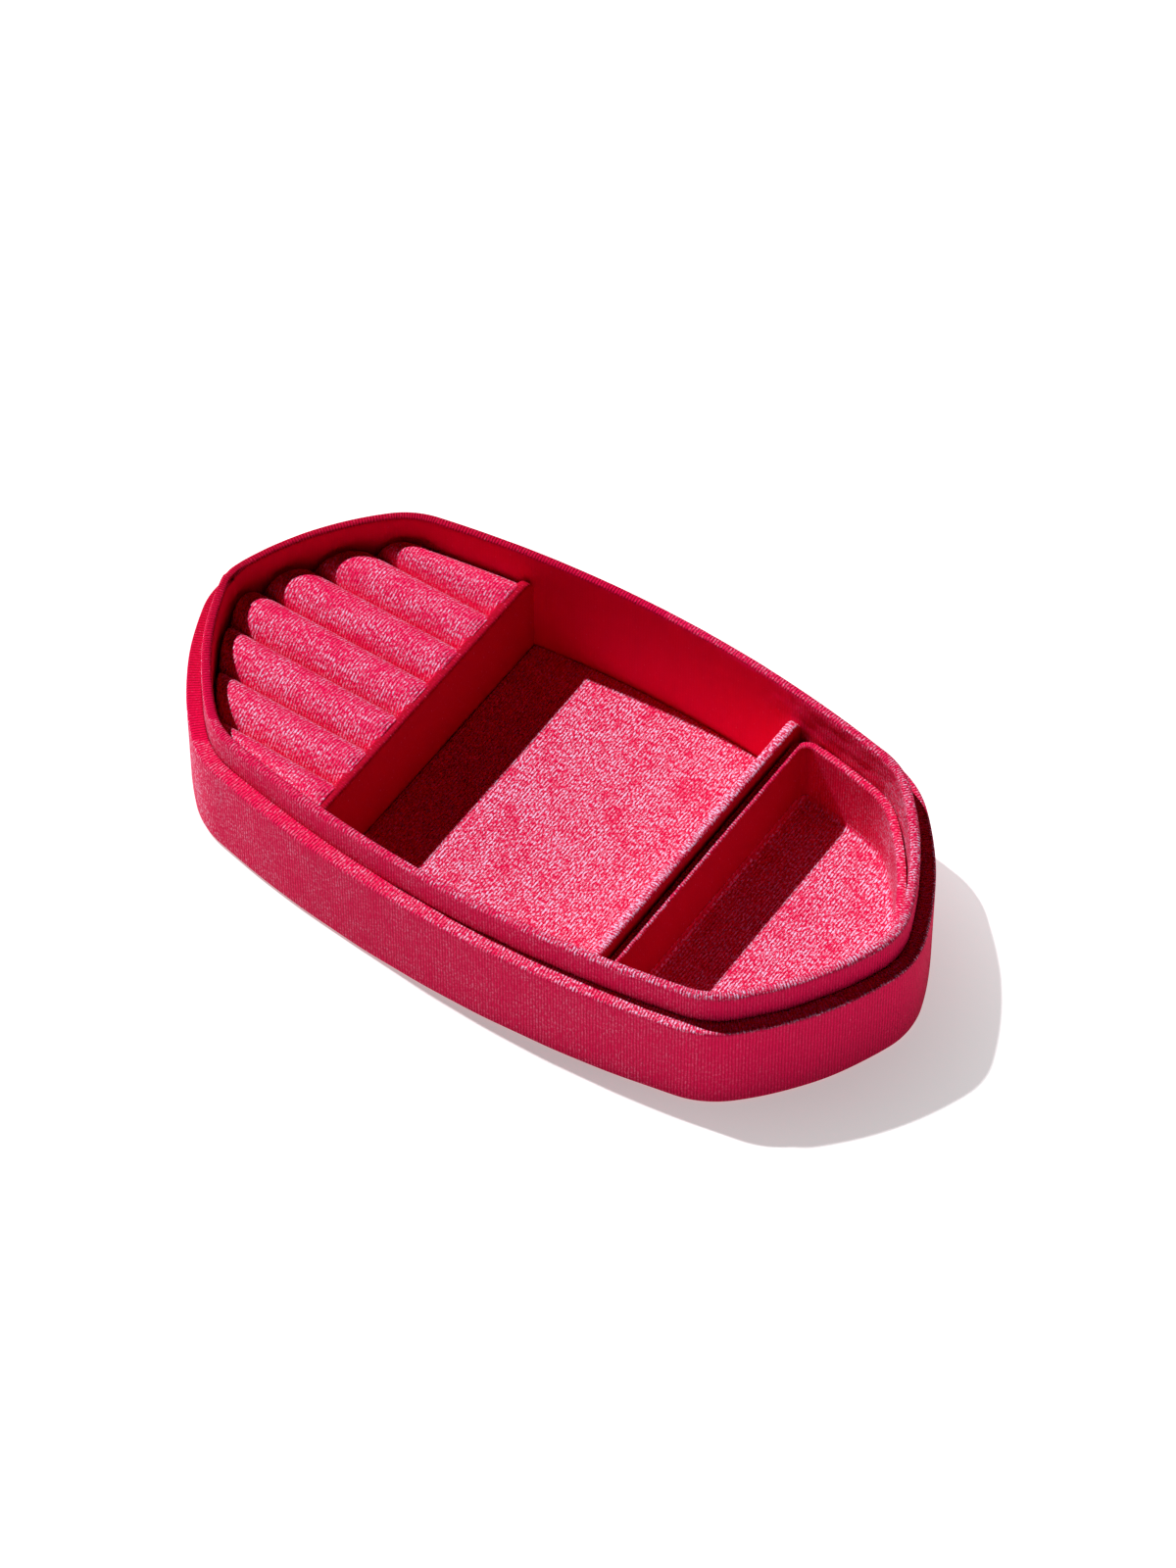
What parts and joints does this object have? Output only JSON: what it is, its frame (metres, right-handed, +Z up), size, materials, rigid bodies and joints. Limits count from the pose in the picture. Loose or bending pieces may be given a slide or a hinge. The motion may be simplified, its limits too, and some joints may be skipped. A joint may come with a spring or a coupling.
{
  "type": "ring box",
  "caption": "Open velvet-covered jewellery box base with a raised neck, cross dividers, a lift-out insert of padded ring rolls and a lift-out end tray.",
  "frame": {"origin": "middle of the underside", "axes": "+X along the box towards the end tray, +Y across it, +Z up"},
  "size_m": [0.23, 0.1234, 0.041],
  "materials": {
    "velvet_walls": "short-pile knitted velvet, crimson",
    "velvet_rolls": "short-pile knitted velvet, crimson with a pale sheen",
    "velvet_floor": "short-pile knitted velvet, crimson with a pale sheen",
    "greyboard": "uncoated grey board",
    "foam": "soft foam",
    "underside_paper": "matt lining paper"
  },
  "bodies": {
    "box": {"underside_sheet": "underside_paper", "base_board": "greyboard", "wall_board": "greyboard", "base_cover": "velvet_walls", "neck_board": "greyboard", "neck_cover": "velvet_walls", "divider_left_board": "greyboard", "divider_left_cover": "velvet_walls", "divider_right_board": "greyboard", "divider_right_cover": "velvet_walls", "floor_card": "greyboard", "floor_cover": "velvet_floor"},
    "ring_insert": {"insert_board": "greyboard", "roll_core_1": "foam", "roll_core_2": "foam", "roll_core_3": "foam", "roll_core_4": "foam", "roll_core_5": "foam", "roll_core_6": "foam", "roll_core_7": "foam", "roll_cover_1": "velvet_rolls", "roll_cover_2": "velvet_rolls", "roll_cover_3": "velvet_rolls", "roll_cover_4": "velvet_rolls", "roll_cover_5": "velvet_rolls", "roll_cover_6": "velvet_rolls", "roll_cover_7": "velvet_rolls"},
    "end_tray": {"tray_floor_board": "greyboard", "tray_wall_board": "greyboard", "tray_cover": "velvet_walls", "tray_floor_card": "greyboard", "tray_floor_cover": "velvet_floor"}
  },
  "joints": [
    {"name": "ring_insert_lift", "type": "slide", "parent": "box", "child": "ring_insert", "axis": [0, 0, 1], "range_m": [0, 0.05]},
    {"name": "end_tray_lift", "type": "slide", "parent": "box", "child": "end_tray", "axis": [0, 0, 1], "range_m": [0, 0.05]}
  ]
}
